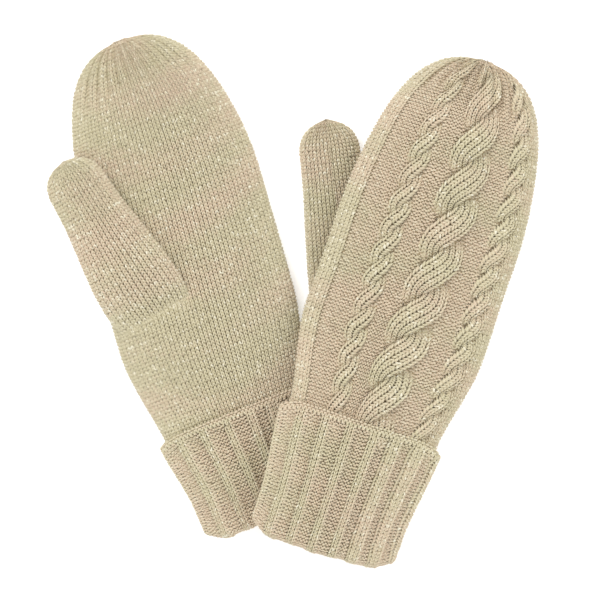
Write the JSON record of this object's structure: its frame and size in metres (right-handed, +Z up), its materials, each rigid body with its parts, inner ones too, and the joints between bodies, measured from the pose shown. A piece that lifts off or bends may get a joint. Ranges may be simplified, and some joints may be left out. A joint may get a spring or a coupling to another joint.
{
  "type": "knitted mittens",
  "caption": "Pair of knitted mittens with turned-up ribbed cuffs, cabled backs, plain palms and thumbs that swing; the right one lies over the left cuff.",
  "frame": {"origin": "centre of the pair's outline on the surface it lies on", "axes": "+Z up from that surface, +Y towards the finger tips, +X towards the right mitten's outer side"},
  "size_m": [0.2374, 0.2594, 0.0323],
  "materials": {
    "knit": "soft wool-blend yarn in stockinette and cables",
    "rib_knit": "soft wool-blend yarn in two by two rib",
    "seam_yarn": "the same yarn, sewn and drawn tight"
  },
  "bodies": {
    "left_mitten": {"left_back_panel": "knit", "left_palm_panel": "knit", "left_outer_seam": "seam_yarn", "left_thumb_side_seam": "seam_yarn", "left_tip_gather": "seam_yarn", "left_wrist_rib": "rib_knit", "left_turned_cuff": "rib_knit", "left_cast_on_edge": "rib_knit", "left_thumb_seam": "seam_yarn"},
    "left_thumb": {"left_thumb": "knit", "left_thumb_gather": "seam_yarn"},
    "right_mitten": {"right_back_panel": "knit", "right_palm_panel": "knit", "right_outer_seam": "seam_yarn", "right_thumb_side_seam": "seam_yarn", "right_tip_gather": "seam_yarn", "right_wrist_rib": "rib_knit", "right_turned_cuff": "rib_knit", "right_cast_on_edge": "rib_knit", "right_thumb_seam": "seam_yarn"},
    "right_thumb": {"right_thumb": "knit", "right_thumb_gather": "seam_yarn"}
  },
  "joints": [
    {"name": "left_thumb_swing", "type": "hinge", "parent": "left_mitten", "child": "left_thumb", "pos_m": [-0.07325, 0.00226, 0.0124], "axis": [0, 0, 1], "range_deg": [-14, 45]},
    {"name": "right_mitten_lift", "type": "slide", "parent": "left_mitten", "child": "right_mitten", "axis": [0, 0, 1], "range_m": [0, 0.08]},
    {"name": "right_thumb_swing", "type": "hinge", "parent": "right_mitten", "child": "right_thumb", "pos_m": [0.02584, 0.00227, 0.0106], "axis": [0, 0, 1], "range_deg": [-20, 10]}
  ]
}
